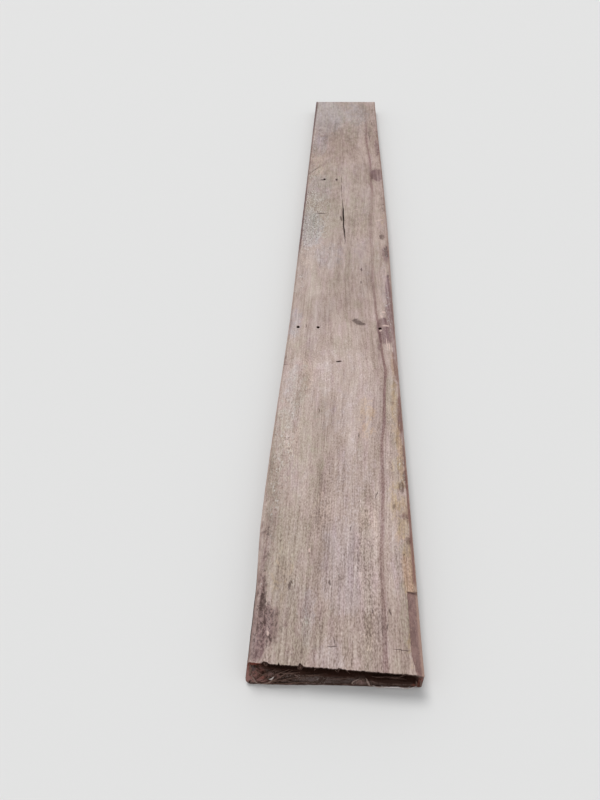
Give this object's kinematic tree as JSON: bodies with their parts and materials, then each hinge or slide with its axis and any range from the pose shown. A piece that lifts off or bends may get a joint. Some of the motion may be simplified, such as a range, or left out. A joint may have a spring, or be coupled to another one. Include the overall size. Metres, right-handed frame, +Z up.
{
  "type": "hardwood board",
  "caption": "Wide sawn hardwood board with weathered grey faces, a square saw-cut end, a rough split end, wandering edges and old spike holes.",
  "frame": {"origin": "middle of the board's bounding box, on its underside", "axes": "+Z up through the thickness, +Y along the board from its split end to its square saw cut, +X across it to the right when looking along +Y"},
  "size_m": [0.3165, 2.8679, 0.05],
  "materials": {
    "weathered_hardwood": "dry, rough-sawn and weathered grey"
  },
  "bodies": {
    "root": {"hardwood_board": "weathered_hardwood"}
  },
  "joints": []
}
